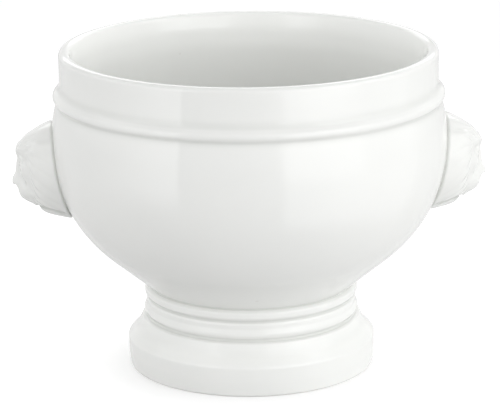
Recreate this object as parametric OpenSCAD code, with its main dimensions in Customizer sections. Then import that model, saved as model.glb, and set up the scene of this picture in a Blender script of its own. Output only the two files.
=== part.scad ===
// Footed soup crock of white glazed porcelain.
// A turned bowl with a beaded collar stands on a pedestal foot, and a lion-head lug is stuck on
// at each side. The four castings are joined with slip while the clay is leather-hard.
// Millimetres, +Z up. The origin is the middle of the foot ring on the table, the heads lie along X.

/* [Rim and collar] */
// Outside diameter of the straight collar under the lip
rim_d = 118; // [104:0.5:132]
// Height of the lip's crest above the table
rim_h = 101.5; // [92:0.5:112]
// Thickness of the collar, rounded over at the lip
lip_t = 4.4; // [3:0.1:6]
// How far the collar's inside leans out towards the lip
lip_flare = 1.2; // [0:0.1:2]
// Height over which it leans out
lip_flare_h = 5; // [3:0.1:8]

/* [Bead under the collar] */
// Drop from the lip's crest to the middle of the bead
bead_drop = 13.6; // [11:0.1:16]
// Height of the bead
bead_h = 4.4; // [3.4:0.1:6]
// How far the bead stands out from the collar
bead_out = 2.1; // [1:0.1:3]
// Depth of the groove under the bead, from the bead's crest
groove_depth = 1; // [0.5:0.1:1.5]
// Height of the groove's lower slope
groove_h = 2; // [1:0.1:3]

/* [Belly] */
// Largest outside diameter of the belly
belly_d = 124; // [116:0.5:138]
// Drop from the lip's crest to the belly's widest ring
belly_drop = 29.3; // [26:0.1:34]
// Height of the straight cone between the foot and the belly's curve
belly_cone_h = 11.3; // [7:0.1:14]
// Thickness of the belly wall
belly_t = 4.6; // [3.5:0.1:6]
// Thickness of the bowl's floor over the foot
floor_t = 6.4; // [4:0.1:8]
// Radius between the inside wall and the floor
floor_round_r = 18; // [8:0.5:24]
// Radius that eases the inside of the collar into the belly
inside_ease_r = 20; // [10:1:30]

/* [Pedestal foot] */
// Height of the seam between the foot and the bowl
foot_h = 26.1; // [22:0.1:29]
// Diameter of the seam
neck_d = 64.2; // [58:0.2:70]
// Height of the narrow roll under the seam
upper_roll_h = 3.85; // [2.2:0.05:4.5]
// How far the narrow roll stands out from the seam
upper_roll_out = 1.55; // [0.9:0.05:2.2]
// Height of the broad roll below it
lower_roll_h = 6.05; // [5:0.05:8.5]
// How far the broad roll's crest stands out from the seam
lower_roll_out = 2; // [1.3:0.05:2.8]
// Diameter of the plinth at its shoulder
plinth_d = 78.2; // [74:0.2:88]
// Height of the plinth's shoulder, where its hollow slope meets its wall
shoulder_h = 9.3; // [6:0.1:12]
// Radius of the plinth's shoulder
shoulder_r = 1.1; // [0.6:0.1:3]
// Height at which the plinth's wall starts to lean in
plinth_lean_h = 5; // [2:0.1:7]
// Diameter of the plinth at the table
base_d = 77; // [73:0.2:88]
// Width of the foot ring that stands on the table
foot_ring_w = 5; // [3.5:0.1:8]
// Thickness of the foot's wall at the seam
foot_t = 5; // [4:0.1:9]
// Radius of the foot ring's edges
foot_edge_r = 0.8; // [0.3:0.1:1.5]

/* [Lion heads] */
// Width of a head where it meets the wall
head_w = 27.2; // [21:0.2:33]
// Height of a head where it meets the wall
head_h = 30.9; // [25:0.1:36]
// Gap between the groove under the bead and a head's crown
crown_gap = 6.5; // [4:0.1:10]
// How far the face stands out from the wall
face_out = 10.6; // [7:0.1:14]
// Deepest relief of the carving, at the whisker pads
carving = 2.3; // [1:0.1:3]
// Depth of the mane's locks
lock_depth = 0.5; // [0.2:0.05:1.2]
// Thickness of the slip that sticks a head to the wall
slip_t = 0.06; // [0.05:0.01:0.2]

/* [Hidden] */

// Facets of a full turn, and degrees of one step along a section's arcs
$fn = 144;
arc_step = 5;

rim_r = rim_d / 2;
bead_z = rim_h - bead_drop;
bead_r = rim_r + bead_out;
groove_z = bead_z - bead_h / 2;
groove_r = bead_r - groove_depth;
neck_r = neck_d / 2;
floor_z = foot_h + floor_t;
plinth_r = plinth_d / 2;
base_r = base_d / 2;
neck_groove_z = foot_h - upper_roll_h;
plinth_h = neck_groove_z - lower_roll_h;

// Radii that soften the lean inside the lip, the bead's crest, its upper root, the groove under it and the
// plinth's lean
flare_r = 19;
bead_crest_r = 2;
bead_top_r = 3;
bead_root_r = 1.2;
lean_r = 12;
// Height over which the inside passes from the collar to the belly
inside_pass_h = 5;
// A corner flatter than this half-angle in degrees stays a point
flat_corner = 89.5;

// Narrow roll of the foot: shares of its height where its crest starts and ends, and the radii there
roll_at = [0.32, 0.78];
roll_r = [0.7, 0.8];
// Groove under it: how far its floor stands out from the seam, its radius, and the height, step and radius
// of its lower edge
neck_groove_out = 0.3;
neck_groove_r = 0.8;
neck_edge_h = 1;
neck_edge_out = 0.1;
neck_edge_r = 0.6;
// Broad roll: how far its waist stands out, the shares of its height at the waist and the crest, and the
// radii there
waist_out = 1;
waist_at = 0.68;
crest_at = 0.31;
waist_r = 5;
crest_r = 1.4;
// Groove over the plinth: how far its floor stands out, its radius, and the step, drop and radius of its
// lower edge
plinth_groove_out = 0.4;
plinth_groove_r = 0.6;
slope_out = 0.35;
slope_drop = 0.45;
slope_edge_r = 0.6;
// Plinth slope: shares of its width and height where it is most hollow, and the radius there
hollow_at = [0.3, 0.5];
hollow_r = 9;

// The belly is an arc over a cone that starts at the seam. Its height and width fix the angle through
// which the arc turns, found by halving the interval that holds it.
belly_r = belly_d / 2;
belly_z = rim_h - belly_drop;
arc_drop = belly_z - foot_h - belly_cone_h;
arc_turn = belly_turn(0, 90, 40);
belly_curve_r = arc_drop / sin(arc_turn);
belly_c = [belly_r - belly_curve_r, belly_z];

// Head carving: rings from the middle of the face out to the wall, spokes round it, rings on the back
head_rings = 27;
head_spokes = 88;
back_rings = 4;
// Crowding of the rings towards the steep sides
ring_crowd = 1.9;
// Squareness of the head's outline, and its swell and draw towards the crown
outline_power = 2.3;
crown_swell = 0.07;
crown_draw = 0.03;
// How boxy the block is at its sides, crown and chin, and how round its edge is
side_power = 5;
crown_power = 2.65;
chin_power = 5.5;
edge_power = 0.8;
// Share and height of the tuck that makes the crease at the wall
tuck = 0.07;
tuck_h = 0.6;
half_w = head_w / 2;
half_h = head_h / 2;
head_z = groove_z - crown_gap - half_h;
// Steps of share and angle that measure the block's slope, and the share nearest the middle
slope_step = 0.01;
slope_turn = 1;
middle_share = 0.001;
// Share of the depth over which the carving starts at the wall
carving_start = 0.1;

// Hills and hollows of one half of the face, mirrored on the other half:
// [side, height, half-width, half-height, tilt, squareness, relief]. The first four are shares of half the
// head's width or height, the tilt is in degrees, and the relief is a share of the carving depth.
FACE = [
    [0, 0.557, 0.368, 0.207, 0, 2, 0.48],           // forehead
    [0, 0.544, 0.059, 0.142, 0, 2, -0.13],          // frown
    [0.287, 0.466, 0.213, 0.084, 13, 2, 0.43],      // brow
    [0.074, 0.388, 0.103, 0.078, 0, 2, 0.17],       // knot of the brows
    [0.301, 0.291, 0.184, 0.104, 8, 2, -0.48],      // eye socket
    [0.294, 0.282, 0.118, 0.068, 8, 2.6, 0.52],     // eye
    [0.309, 0.178, 0.132, 0.032, 4, 2, 0.13],       // lower lid
    [0, -0.155, 0.199, 0.104, 0, 2.4, 0.43],        // nose
    [0.154, -0.194, 0.074, 0.065, 0, 2, 0.17],      // wing of the nose
    [0.11, -0.243, 0.055, 0.036, 28, 2, -0.35],     // nostril
    [0.206, -0.388, 0.213, 0.194, -8, 2.4, 1],      // whisker pad
    [0, -0.841, 0.25, 0.084, 0, 2.6, 0.26],         // chin
    [0.456, -0.751, 0.132, 0.091, 0, 2, -0.22],     // corner of the mouth
    [0.471, 0.039, 0.132, 0.181, -14, 2, 0.35],     // cheek
    [0.36, -0.155, 0.066, 0.129, 26, 2, -0.26],     // crease beside the nose
    [0.529, -0.401, 0.132, 0.142, 10, 2, 0.22],     // jowl
    [0.61, 0.583, 0.147, 0.136, -30, 2.4, 0.39],    // ear
    [0.588, 0.557, 0.074, 0.078, -30, 2.2, -0.35],  // hollow of the ear
];
// Planes of the face that fall back from the nose: the sides they fall between, half-height, relief, and
// the depths over which they start
fall_side = [0.16, 0.59];
fall_h = 0.615;
fall_relief = -0.565;
fall_start = [0.55, 0.9];
// Bridge of the nose: half-widths and reliefs at its root and tip, and the heights where its ends fade
bridge_w = [0.11, 0.176];
bridge_relief = [0.196, 0.848];
bridge_root = [0.291, 0.518];
bridge_tip = [-0.324, -0.194];
bridge_grow = [0.259, -0.129];
// Furrow under the nose: half-width, relief, and the heights where its ends fade
furrow_w = 0.033;
furrow_relief = -0.478;
furrow_low = [-0.712, -0.647];
furrow_high = [-0.35, -0.298];
// Mouth: height of its line at the middle, dip under the pads, lift at its corners and the sides they lie
// between, half-height of the line, its reliefs at the lips and the jaw, the depth where it starts to deepen
// towards the jaw, and the depths over which it starts at the wall
mouth_y = -0.686;
mouth_dip = 0.045;
dip_side = [0.044, 0.235];
mouth_lift = 0.026;
lift_side = [0.33, 0.515];
mouth_line_h = 0.039;
mouth_relief = [-0.152, -0.391];
jaw_turn = 0.95;
mouth_start = [0.02, 0.3];
// The mouth's line runs on along the side over the jaw, falling by this share towards the wall
jaw_y = -0.706;
jaw_fall = 0.129;
// Share of the depth where the face turns into the sides
face_turn = 0.86;
// Mane: number of locks, share of the head where the face ends and its change round the head, bend of the
// front and side locks in degrees, how far round the side locks' bend swings, how soon the bend reaches its
// full amount beside the crown, depth of the side locks as a share, and how far below the block's surface
// the gaps between the locks lie
locks = 22;
face_edge = 0.66;
face_oval = 0.04;
front_bend = 17;
side_bend = 9;
side_swing = 216;
bend_power = 0.3;
side_locks = 0.12;
front_gap = 0.44;
side_gap = 0.08;
lock_round = 0.6;
// How fast the locks start: at the face's edge, and at these depths of the front and the flanks
lock_start = 0.1;
front_start = [0.5, 0.88];
flank_start = [0.03, 0.25];
flank_turn = 0.25;
// Thinning of the locks at the chin and the crown: height, half-width, half-height and share
chin_thin = [-0.841, 0.515, 0.207, 0.75];
crown_thin = [0.906, 0.66, 0.259, 0.5];

// Angle through which the belly's arc turns, between low and high, after some halvings
function belly_turn(low, high, halvings) =
    let (
        turn = (low + high) / 2,
        reach = arc_drop * tan(turn / 2) + belly_cone_h * tan(turn)
    )
    halvings == 0 ? turn :
    reach < belly_r - neck_r ? belly_turn(turn, high, halvings - 1) : belly_turn(low, turn, halvings - 1);

// Points along an arc about c from angle a0 to a1
function arc(c, r, a0, a1) =
    let (n = max(1, ceil(abs(a1 - a0) / arc_step)))
    [for (i = [0:n]) c + r * [cos(a0 + (a1 - a0) * i / n), sin(a0 + (a1 - a0) * i / n)]];

function unit(v) = v / norm(v);
function xy(p) = [p.x, p.y];

// Corner b of the path a-b-c, rounded to radius r as far as its two edges allow
function corner(a, b, c, r) =
    let (u = unit(a - b), v = unit(c - b), half = acos(u * v) / 2)
    r <= 0 || half > flat_corner ? [b] :
    let (
        reach = min(r / tan(half), 0.5 * min(norm(a - b), norm(c - b))),
        round_r = reach * tan(half),
        middle = b + unit(u + v) * round_r / sin(half),
        from = b + u * reach - middle,
        to = b + v * reach - middle,
        a0 = atan2(from.y, from.x),
        turn = atan2(cross(from, to), from * to)
    )
    arc(middle, round_r, a0, a0 + turn);

// Open path of [x, y, corner radius], rounded at its inner points, without its two ends
function rounded(path) =
    [for (i = [1:len(path) - 2]) each corner(xy(path[i - 1]), xy(path[i]), xy(path[i + 1]), path[i].z)];

// Radius of the outside wall at a height, on the belly's arc and the cone below it
function wall_r(z) =
    let (rise = z - belly_z)
    rise > -arc_drop ? belly_c.x + sqrt(pow(belly_curve_r, 2) - rise * rise)
                     : neck_r + (z - foot_h) * tan(arc_turn);

// Point of the belly's inner arc at a height
function inner_point(z) =
    let (rise = z - belly_z)
    [belly_c.x + sqrt(pow(belly_curve_r - belly_t, 2) - rise * rise), z];

// Section of the bowl, from the seat on the foot round the outside, the lip and the inside
function bowl_section() =
    let (
        bead_top = bead_z + bead_h / 2,
        belly_top = groove_z - groove_h,
        inside_r = rim_r - lip_t,
        lip_r = (lip_t - lip_flare) / 2,
        inner_r = belly_curve_r - belly_t,
        step_out = (wall_r(belly_top) - groove_r) / 2,
        pass_z = groove_z - min(belly_t, max(-belly_t, step_out)),
        pass_top = pass_z + inside_pass_h,
        pass_end = inner_point(pass_z - inside_pass_h),
        inner_low = max(-arc_turn, asin((floor_z + floor_t - belly_z) / inner_r)),
        inner_end = belly_c + inner_r * [cos(inner_low), sin(inner_low)],
        floor_r = inner_end.x + (inner_end.y - floor_z) * tan(inner_low),
        inner_arc = arc(belly_c, inner_r, asin((pass_end.y - belly_z) / inner_r), inner_low)
    )
    concat(
        [[0, foot_h], [neck_r, foot_h]],
        arc(belly_c, belly_curve_r, -arc_turn, asin((belly_top - belly_z) / belly_curve_r)),
        rounded([
            [wall_r(belly_top), belly_top],
            [groove_r, groove_z, bead_root_r],
            [bead_r, groove_z + groove_depth, bead_crest_r],
            [bead_r, bead_top - bead_out, bead_crest_r],
            [rim_r, bead_top, bead_top_r],
            [rim_r, rim_h, lip_r],
            [inside_r + lip_flare, rim_h, lip_r],
            [inside_r, rim_h - lip_flare_h, flare_r],
            [inside_r, pass_top, inside_ease_r],
            [pass_end.x, pass_end.y, inside_ease_r],
            inner_arc[1]
        ]),
        [for (i = [1:len(inner_arc) - 1]) inner_arc[i]],
        rounded([inner_end, [floor_r, floor_z, floor_round_r], [0, floor_z]]),
        [[0, floor_z]]
    );

// Section of the foot, from the seam down the outside, under the ring and up the hollow
function foot_section() =
    let (
        roll_x = neck_r + upper_roll_out,
        crest_x = neck_r + lower_roll_out,
        waist_x = neck_r + waist_out,
        slope_top = [crest_x + slope_out, plinth_h - slope_drop],
        slope = [plinth_r, shoulder_h] - slope_top,
        hollow = slope_top + [slope.x * hollow_at.x, slope.y * hollow_at.y]
    )
    concat(
        [[neck_r, foot_h]],
        rounded([
            [neck_r, foot_h],
            [roll_x, neck_groove_z + roll_at[1] * upper_roll_h, roll_r[1]],
            [roll_x, neck_groove_z + roll_at[0] * upper_roll_h, roll_r[0]],
            [neck_r + neck_groove_out, neck_groove_z, neck_groove_r],
            [waist_x + neck_edge_out, neck_groove_z - neck_edge_h, neck_edge_r],
            [waist_x, plinth_h + waist_at * lower_roll_h, waist_r],
            [crest_x, plinth_h + crest_at * lower_roll_h, crest_r],
            [neck_r + plinth_groove_out, plinth_h, plinth_groove_r],
            [slope_top.x, slope_top.y, slope_edge_r],
            [hollow.x, hollow.y, hollow_r],
            [plinth_r, shoulder_h, shoulder_r],
            [plinth_r, plinth_lean_h, lean_r],
            [base_r, 0, foot_edge_r],
            [base_r - foot_ring_w, 0, foot_edge_r],
            [neck_r - foot_t, foot_h]
        ]),
        [[neck_r - foot_t, foot_h]]
    );

function ease(x, low, high) = let (t = min(1, max(0, (x - low) / (high - low)))) t * t * (3 - 2 * t);
function power(x, p) = sign(x) * pow(abs(x), p);

// Round hill of height 1 at a place, at side a and height b: both are shares of half the head, and the
// hill's outline is an ellipse or, with a higher squareness, a rounded box
function mound(a, b, place, size, tilt, squareness) =
    let (
        x = (a - place.x) * half_w,
        y = (b - place.y) * half_h,
        along = x * cos(tilt) + y * sin(tilt),
        across = y * cos(tilt) - x * sin(tilt)
    )
    exp(-pow(abs(along) / (size.x * half_w), squareness) - pow(abs(across) / (size.y * half_h), squareness));

function hill(a, b, f) = f[6] * mound(a, b, [f[0], f[1]], [f[2], f[3]], f[4], f[5]);

// Share of the way from the first to the second of a pair, and a value between a pair
function fade(x, pair) = ease(x, pair[0], pair[1]);
function between(pair, share) = pair[0] + (pair[1] - pair[0]) * share;

function bridge(a, b) =
    let (grow = min(1, max(0, (bridge_grow[0] - b) / (bridge_grow[0] - bridge_grow[1]))))
    between(bridge_relief, grow) * exp(-pow(a / between(bridge_w, grow), 3))
    * fade(b, bridge_tip) * (1 - fade(b, bridge_root));

function furrow(a, b) =
    furrow_relief * exp(-pow(a / furrow_w, 2)) * fade(b, furrow_low) * (1 - fade(b, furrow_high));

// Line of the mouth across the face, and on along the sides over the jaw
function mouth(a, b, depth) =
    let (
        lips = mouth_y - mouth_dip * fade(a, dip_side) + mouth_lift * fade(a, lift_side),
        jaw = jaw_y - jaw_fall * (face_turn - depth) / face_turn,
        line = depth > face_turn ? lips : jaw,
        relief = between(mouth_relief, ease(jaw_turn - depth, 0, flank_turn))
    )
    relief * exp(-pow((b - line) / mouth_line_h, 2)) * fade(depth, mouth_start);

function fall(a, b, depth) =
    fall_relief * fade(a, fall_side) * exp(-pow(b / fall_h, 4)) * fade(depth, fall_start);

// Relief of the carving at side a, height b and share of the block's depth
function face_relief(a, b, depth) =
    let (
        hills = [for (f = FACE) hill(a, b, f)] * [for (f = FACE) 1],
        lines = bridge(a, b) + furrow(a, b) + mouth(a, b, depth)
    )
    carving * (hills + lines + fall(a, b, depth));

function thinning(a, b, t) = t[3] * mound(a, b, [0, t[0]], [t[1], t[2]], 0, 2);

// Locks of the mane: a ring round the face and a fainter ring on the sides, thinned at chin and crown.
// They depend on the share out from the middle, the spoke's angle and the share of the block's depth.
function mane_relief(a, b, share, angle, depth) =
    let (
        edge = face_edge + face_oval * cos(2 * angle),
        side = power(cos(angle), bend_power),
        out = min(1, max(0, (share - edge) / (1 - face_edge))),
        front_lock = abs(sin(locks / 2 * (angle + front_bend * sin(180 * out) * side))),
        side_lock = abs(cos(locks / 2 * (angle + side_bend * cos(side_swing * depth) * side))),
        front = ease(share, edge, edge + lock_start) * fade(depth, front_start),
        flank = ease(face_turn - depth, 0, flank_turn) * fade(depth, flank_start),
        front_locks = front * (pow(front_lock, lock_round) - front_gap),
        flank_locks = flank * (side_locks * pow(side_lock, lock_round) - side_gap)
    )
    lock_depth * (1 - thinning(a, b, chin_thin) - thinning(a, b, crown_thin)) * (front_locks + flank_locks);

// Plain block of the head before carving: [outwards, sideways, height, share of depth]
function block(share, angle) =
    let (
        up = sin(angle),
        boxy = up > 0 ? between([side_power, crown_power], up) : between([side_power, chin_power], -up),
        depth = pow(max(0, 1 - pow(share, boxy)), edge_power),
        crease = share * (1 - tuck * exp(-pow(depth * face_out / tuck_h, 2))),
        swell = 1 + crown_swell * up - crown_draw * up * up,
        side = crease * half_w * power(cos(angle), 2 / outline_power) * swell,
        height = crease * half_h * power(up, 2 / outline_power),
        wall = sqrt(pow(wall_r(head_z + height) + slip_t, 2) - side * side)
    )
    [wall + face_out * depth, side, height, depth];

// One point of the carved face, moved along the block's slope by the relief
function face_point(share, angle) =
    let (
        p = block(share, angle),
        inner = max(middle_share, share - slope_step),
        outer = min(1, share + slope_step),
        along = block(outer, angle) - block(inner, angle),
        round = block(share, angle + slope_turn) - block(share, angle - slope_turn),
        slope = unit(cross([along.x, along.y, along.z], [round.x, round.y, round.z])),
        a = abs(p.y) / half_w,
        b = p.z / half_h,
        relief = face_relief(a, b, p[3]) + mane_relief(a, b, share, angle, p[3])
    )
    [p.x, p.y, p.z + head_z] + relief * ease(p[3], 0, carving_start) * slope;

// One point of the back, on the slip against the wall
function back_point(share, angle) =
    let (p = block(1, angle), side = share * p.y, z = head_z + share * p.z)
    [sqrt(pow(wall_r(z) + slip_t, 2) - side * side), side, z];

module bowl() {
    color("whitesmoke") rotate_extrude() polygon(bowl_section());
}

module pedestal_foot() {
    color("whitesmoke") rotate_extrude() polygon(foot_section());
}

// One closed head at +X: rings of points from the middle of the face to the wall, then over the back
module lion_head() {
    angles = [for (j = [0:head_spokes - 1]) 360 * j / head_spokes];
    front = [for (i = [1:head_rings]) let (share = 1 - pow(1 - i / head_rings, ring_crowd))
             for (a = angles) face_point(share, a)];
    back = [for (i = [back_rings - 1:-1:1]) for (a = angles) back_point(i / back_rings, a)];
    rings = head_rings + back_rings - 1;
    nose = len(front) + len(back);
    sides = [for (i = [0:rings - 2]) for (j = [0:head_spokes - 1])
             let (k = (j + 1) % head_spokes, a = i * head_spokes, b = a + head_spokes)
             each [[a + j, a + k, b + j], [a + k, b + k, b + j]]];
    last = (rings - 1) * head_spokes;
    caps = [for (j = [0:head_spokes - 1]) let (k = (j + 1) % head_spokes)
            each [[nose, k, j], [nose + 1, last + j, last + k]]];
    middle = [face_out + wall_r(head_z) + slip_t + face_relief(0, 0, 1), 0, head_z];
    polyhedron(concat(front, back, [middle, back_point(0, 0)]), concat(sides, caps));
}

module lion_head_left() {
    color("whitesmoke") rotate(180) lion_head();
}

module lion_head_right() {
    color("whitesmoke") lion_head();
}

bowl();
pedestal_foot();
lion_head_left();
lion_head_right();
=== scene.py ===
"""Looks of a footed soup crock of white glazed porcelain with a lion-head lug on each side.

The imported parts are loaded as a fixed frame. Each casting is then worked out again as a fine surface in the
same place, takes a glaze made of shader nodes, and stands in a plain white studio.
Sizes in the classes are millimetres. Meshes, lamps and the camera are in metres.
"""

import logging
import math
from dataclasses import dataclass
from enum import Enum
from typing import Optional

import bpy
import numpy as np
from mathutils import Matrix, Vector


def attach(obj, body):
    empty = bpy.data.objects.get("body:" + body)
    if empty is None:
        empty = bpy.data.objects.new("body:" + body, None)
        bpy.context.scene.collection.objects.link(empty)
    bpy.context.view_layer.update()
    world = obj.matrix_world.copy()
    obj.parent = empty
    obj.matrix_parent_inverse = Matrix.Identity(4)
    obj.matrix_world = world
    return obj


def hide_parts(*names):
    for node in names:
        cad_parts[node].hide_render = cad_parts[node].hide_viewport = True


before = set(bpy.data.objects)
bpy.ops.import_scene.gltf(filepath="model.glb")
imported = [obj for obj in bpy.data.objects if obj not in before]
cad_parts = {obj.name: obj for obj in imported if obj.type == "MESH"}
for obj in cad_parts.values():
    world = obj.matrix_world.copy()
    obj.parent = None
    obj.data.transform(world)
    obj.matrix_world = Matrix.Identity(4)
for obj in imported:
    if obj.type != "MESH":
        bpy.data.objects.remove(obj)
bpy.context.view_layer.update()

MM = 0.001
TINY = 1e-9
SHARP_ANGLE = math.radians(50.0)
MOST_TURN = 0.2
BODY = "root"
# Attribute of glaze pooling in hollows. The tint that it drives also paints shade into grooves, creases and
# the mouth.
POOL_AND_SHADE = "pool"
GLOW = "glow"
LOG = logging.getLogger("soup_crock")


class Side(Enum):
    """Side of the bowl that carries a head, as the turn about the axis that brings +X there."""

    RIGHT = 0.0
    LEFT = math.pi


def ease(x: np.ndarray, low: float | np.ndarray, high: float | np.ndarray) -> np.ndarray:
    """Smooth step: 0 below low, 1 above high, and 3t^2 - 2t^3 between them.

    Args:
        x: Values to step.
        low: Value where the step starts.
        high: Value where the step ends.

    Returns:
        The step at each value.
    """
    t = np.clip((x - low) / (high - low), 0.0, 1.0)
    return t * t * (3.0 - 2.0 * t)


def signed_power(x: np.ndarray, exponent: float) -> np.ndarray:
    """Power of the size of x that keeps its sign."""
    return np.sign(x) * np.abs(x) ** exponent


def round_corners(corners: np.ndarray, samples: int = 24) -> np.ndarray:
    """Rounds the inner corners of an open path in section.

    A corner becomes the arc that touches both of its edges. Its reach along an edge is the rounding radius
    over the tangent of half the corner's angle, and at most half of the shorter edge. The arc's middle lies
    on the corner's bisector.

    Args:
        corners: Rows of distance from the axis, height and rounding radius.
        samples: Points on each arc.

    Returns:
        Points of the rounded path, without its two ends.
    """
    here = corners[1:-1, :2]
    back, ahead = corners[:-2, :2] - here, corners[2:, :2] - here
    back_len, ahead_len = np.linalg.norm(back, axis=1), np.linalg.norm(ahead, axis=1)
    back, ahead = back / back_len[:, None], ahead / ahead_len[:, None]
    half = 0.5 * np.arccos(np.clip((back * ahead).sum(axis=1), -1.0, 1.0))
    reach = np.minimum(corners[1:-1, 2] / np.tan(half), 0.5 * np.minimum(back_len, ahead_len))
    radius = reach * np.tan(half)
    bisector = (back + ahead) / np.linalg.norm(back + ahead, axis=1)[:, None]
    middle = here + bisector * (radius / np.sin(half))[:, None]
    start = here + back * reach[:, None] - middle
    end = here + ahead * reach[:, None] - middle
    turn = np.arctan2(start[:, 0] * end[:, 1] - start[:, 1] * end[:, 0], (start * end).sum(axis=1))
    angle = np.arctan2(start[:, 1], start[:, 0])[:, None] + turn[:, None] * np.linspace(0.0, 1.0, samples)
    arcs = middle[:, None] + radius[:, None, None] * np.stack([np.cos(angle), np.sin(angle)], axis=-1)
    return arcs.reshape(-1, 2)


def arc(middle: tuple[float, float], radius: float, start: float, end: float,
        samples: int = 90) -> np.ndarray:
    """Points of a circular arc in section.

    Args:
        middle: Distance from the axis and height of the arc's middle.
        radius: Radius of the arc.
        start: First angle in radians.
        end: Last angle in radians.
        samples: Number of points.

    Returns:
        Points in rows.
    """
    angle = np.linspace(start, end, samples)
    return np.array(middle) + radius * np.stack([np.cos(angle), np.sin(angle)], axis=-1)


def even_steps(path: np.ndarray, step: float) -> np.ndarray:
    """Walks along a path in even steps.

    Args:
        path: Points in rows.
        step: Length of one step.

    Returns:
        Points at even distances along the path, with both ends.
    """
    lengths = np.linalg.norm(np.diff(path, axis=0), axis=1)
    path = path[np.concatenate([[True], lengths > TINY])]
    along = np.concatenate([[0.0], np.cumsum(np.linalg.norm(np.diff(path, axis=0), axis=1))])
    places = np.linspace(0.0, along[-1], int(math.ceil(along[-1] / step)) + 1)
    return np.stack([np.interp(places, along, path[:, k]) for k in range(2)], axis=-1)


def blur(path: np.ndarray, width: float, step: float) -> np.ndarray:
    """Weighted mean of a path with its neighbours, under a bell curve.

    Past its ends the path is carried straight on.

    Args:
        path: Points in even steps.
        width: Spread of the bell curve.
        step: Length of one step of the path.

    Returns:
        The blurred path.
    """
    reach = int(math.ceil(3.0 * width / step))
    bell = np.exp(-0.5 * (np.arange(-reach, reach + 1) * step / width) ** 2)
    bell /= bell.sum()
    head = 2.0 * path[0] - path[reach:0:-1]
    tail = 2.0 * path[-1] - path[-2:-reach - 2:-1]
    padded = np.concatenate([head, path, tail])
    return np.stack([np.convolve(padded[:, k], bell, mode="valid") for k in range(2)], axis=-1)


def thin_out(path: np.ndarray, pool: np.ndarray, count: int) -> tuple[np.ndarray, np.ndarray]:
    """Keeps fewer points of a path, closer together where it turns.

    A point's rank is its share of the path's length plus its share of the path's turning, where one point's
    turn counts up to MOST_TURN. The kept points are evenly spread in rank.

    Args:
        path: Points in even steps.
        pool: Glaze pool and its painted shade at each point.
        count: Number of points to keep.

    Returns:
        The kept points and their pools with painted shade.
    """
    edges = np.diff(path, axis=0)
    heading = np.unwrap(np.arctan2(edges[:, 1], edges[:, 0]))
    turning = np.concatenate([[0.0], np.abs(np.diff(heading)), [0.0]])
    turning = np.minimum(turning, MOST_TURN)
    length = np.concatenate([[0.0], np.linalg.norm(edges, axis=1)])
    rank = np.cumsum(length) / length.sum() + np.cumsum(turning) / turning.sum()
    places = np.linspace(rank[0], rank[-1], count)
    kept = np.stack([np.interp(places, rank, path[:, k]) for k in range(2)], axis=-1)
    return kept, np.interp(places, rank, pool)


def glaze_pool_and_shade(path: np.ndarray, step: float, width: float = 1.1, full: float = 0.25) -> np.ndarray:
    """How thick the glaze lies along a section, and so where shade is painted: it runs off crests and gathers
    in hollows.

    The path is set against its own blurred copy. Where the copy stands outside the path, the path is hollow,
    and the distance between them, over the distance that counts as full, is the pool.

    Args:
        path: Section with the solid on its left.
        step: Length of one step of the path.
        width: Spread of the blur.
        full: Distance that counts as a full pool.

    Returns:
        Pool at each point, from -1 on crests to 1 in hollows, which sets both the glaze tint and the painted
        shade.
    """
    tangent = np.gradient(path, axis=0)
    outward = np.stack([tangent[:, 1], -tangent[:, 0]], axis=-1)
    outward /= np.maximum(np.linalg.norm(outward, axis=1), TINY)[:, None]
    return np.clip(((blur(path, width, step) - path) * outward).sum(axis=1) / full, -1.0, 1.0)


def rings_to_mesh(name: str, rings: np.ndarray, first: np.ndarray, last: np.ndarray,
                  pool: np.ndarray) -> bpy.types.Object:
    """Closed surface through rings of points, with one point at each pole.

    Quads join each ring to the next and close round the ring, and fans of triangles join the end rings to
    the poles. If the signed volume comes out negative, every face is turned round.

    Args:
        name: Name of the piece.
        rings: Points as [ring, place on the ring, xyz] in millimetres.
        first: Pole before the first ring.
        last: Pole after the last ring.
        pool: Glaze pool and its painted shade as [ring, place on the ring].

    Returns:
        The new object, at the origin, linked to the scene.
    """
    count, around = rings.shape[:2]
    points = np.concatenate([rings.reshape(-1, 3), [first, last]]) * MM
    index = np.arange(count * around).reshape(count, around)
    here, ahead = index[:-1], index[1:]
    quads = np.stack([here, ahead, np.roll(ahead, -1, 1), np.roll(here, -1, 1)], axis=-1).reshape(-1, 4)
    start_fan = np.stack([np.full(around, count * around), index[0], np.roll(index[0], -1)], axis=-1)
    end_fan = np.stack([np.full(around, count * around + 1), np.roll(index[-1], -1), index[-1]], axis=-1)
    fans = np.concatenate([start_fan, end_fan])
    triangles = np.concatenate([quads[:, [0, 1, 2]], quads[:, [0, 2, 3]], fans])
    a, b, c = points[triangles[:, 0]], points[triangles[:, 1]], points[triangles[:, 2]]
    if np.einsum("ij,ij->i", a, np.cross(b, c)).sum() < 0.0:
        quads, fans = quads[:, ::-1], fans[:, ::-1]
    mesh = bpy.data.meshes.new(name)
    mesh.from_pydata(points.tolist(), [], quads.tolist() + fans.tolist())
    mesh.polygons.foreach_set("use_smooth", np.ones(len(mesh.polygons), dtype=bool))
    values = np.concatenate([pool.ravel(), [pool[0].mean(), pool[-1].mean()]]).astype(np.float32)
    mesh.attributes.new(POOL_AND_SHADE, "FLOAT", "POINT").data.foreach_set("value", values)
    mesh.update()
    mesh.set_sharp_from_angle(angle=SHARP_ANGLE)
    piece = bpy.data.objects.new(name, mesh)
    bpy.context.scene.collection.objects.link(piece)
    return piece


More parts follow.
